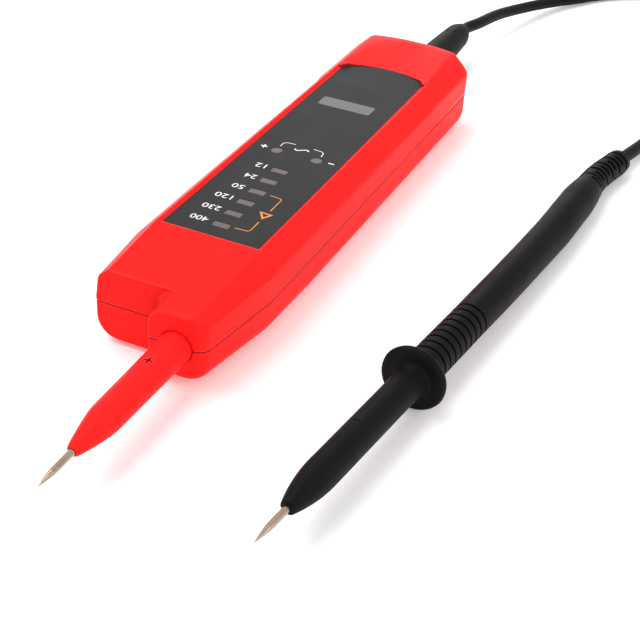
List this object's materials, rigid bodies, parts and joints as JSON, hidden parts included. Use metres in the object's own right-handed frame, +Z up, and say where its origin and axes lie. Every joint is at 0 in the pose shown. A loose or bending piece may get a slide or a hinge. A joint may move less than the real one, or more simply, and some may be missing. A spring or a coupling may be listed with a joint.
{
  "type": "voltage tester",
  "caption": "Hand-held two-pole voltage tester: a red housing with a fixed probe tip and a row of voltage lamps, joined by a lead to a black hand probe with a finger guard.",
  "frame": {"origin": "centre of the housing's flat back face, on the surface it lies on", "axes": "+Z up out of the panel, -Y along the red probe towards its tip, +Y towards the lead, +X towards the black probe"},
  "size_m": [0.1397, 0.4189, 0.0285],
  "materials": {
    "red_abs": "moulded satin",
    "panel_film": "printed matt film",
    "smoky_window": "translucent, satin",
    "led_body": "clear resin",
    "board": "solder mask",
    "resistor_body": "lacquered",
    "moulding_compound": "moulded",
    "capacitor_sleeve": "shrunk sleeve",
    "terminal_metal": "turned, tinned",
    "screw_steel": "zinc plated",
    "seal_rubber": "matt",
    "tip_metal": "nickel plated, satin",
    "red_insulation": "soft PVC",
    "black_insulation": "soft, matt",
    "black_moulding": "moulded satin"
  },
  "bodies": {
    "root": {"upper_shell": "red_abs", "lower_shell": "red_abs", "front_panel": "panel_film", "bar_light_guides": "smoky_window", "dot_light_guides": "smoky_window", "bar_leds": "led_body", "dot_leds": "led_body", "circuit_board": "board", "input_resistors": "resistor_body", "rectifier_diodes": "moulding_compound", "filter_capacitor": "capacitor_sleeve", "control_chip": "moulding_compound", "driver_transistors": "moulding_compound", "wire_terminals": "terminal_metal", "housing_screws": "screw_steel", "probe_barrel": "red_abs", "barrel_seal": "seal_rubber", "probe_tip": "tip_metal", "tip_wire": "red_insulation", "cable_boot": "black_insulation", "inner_wire": "black_insulation", "lead": "black_insulation", "lead_coil": "black_insulation", "lead_return": "black_insulation", "black_probe_handle": "black_moulding", "black_probe_tip": "tip_metal"}
  },
  "joints": []
}
